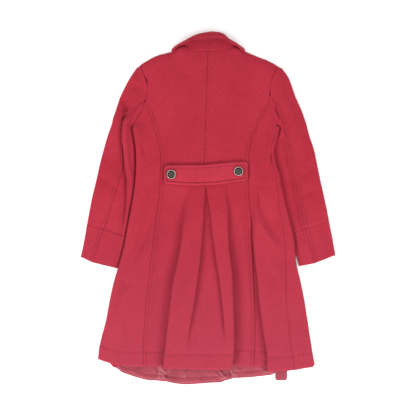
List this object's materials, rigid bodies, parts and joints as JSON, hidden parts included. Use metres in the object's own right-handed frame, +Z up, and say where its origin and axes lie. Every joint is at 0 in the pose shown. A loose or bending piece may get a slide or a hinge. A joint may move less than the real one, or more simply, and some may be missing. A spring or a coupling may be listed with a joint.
{
  "type": "coat",
  "caption": "Knee-length fitted wool coat laid face down, with a buttoned half belt and a pleated flared skirt",
  "frame": {"origin": "middle of the bounding box in X and Y, on the surface that the coat lies on", "axes": "X across the coat, Y along it towards the collar, Z up from the surface; the coat lies face down, its back up"},
  "size_m": [0.7384, 1.0188, 0.0285],
  "materials": {
    "wool": "brushed wool coating, soft nap",
    "lining": "satin lining",
    "button_metal": "dark pewter"
  },
  "bodies": {
    "root": {"back_centre_left": "wool", "back_centre_right": "wool", "back_side_left": "wool", "back_side_right": "wool", "front_side_right": "wool", "front_left": "wool", "front_right": "wool", "sleeve_upper_left": "wool", "sleeve_upper_right": "wool", "sleeve_under_left": "wool", "sleeve_under_right": "wool", "cuff_left": "wool", "cuff_right": "wool", "collar": "wool", "half_belt": "wool", "button_left": "button_metal", "button_right": "button_metal", "lining_left": "lining", "lining_right": "lining", "facing_tab": "lining"}
  },
  "joints": []
}
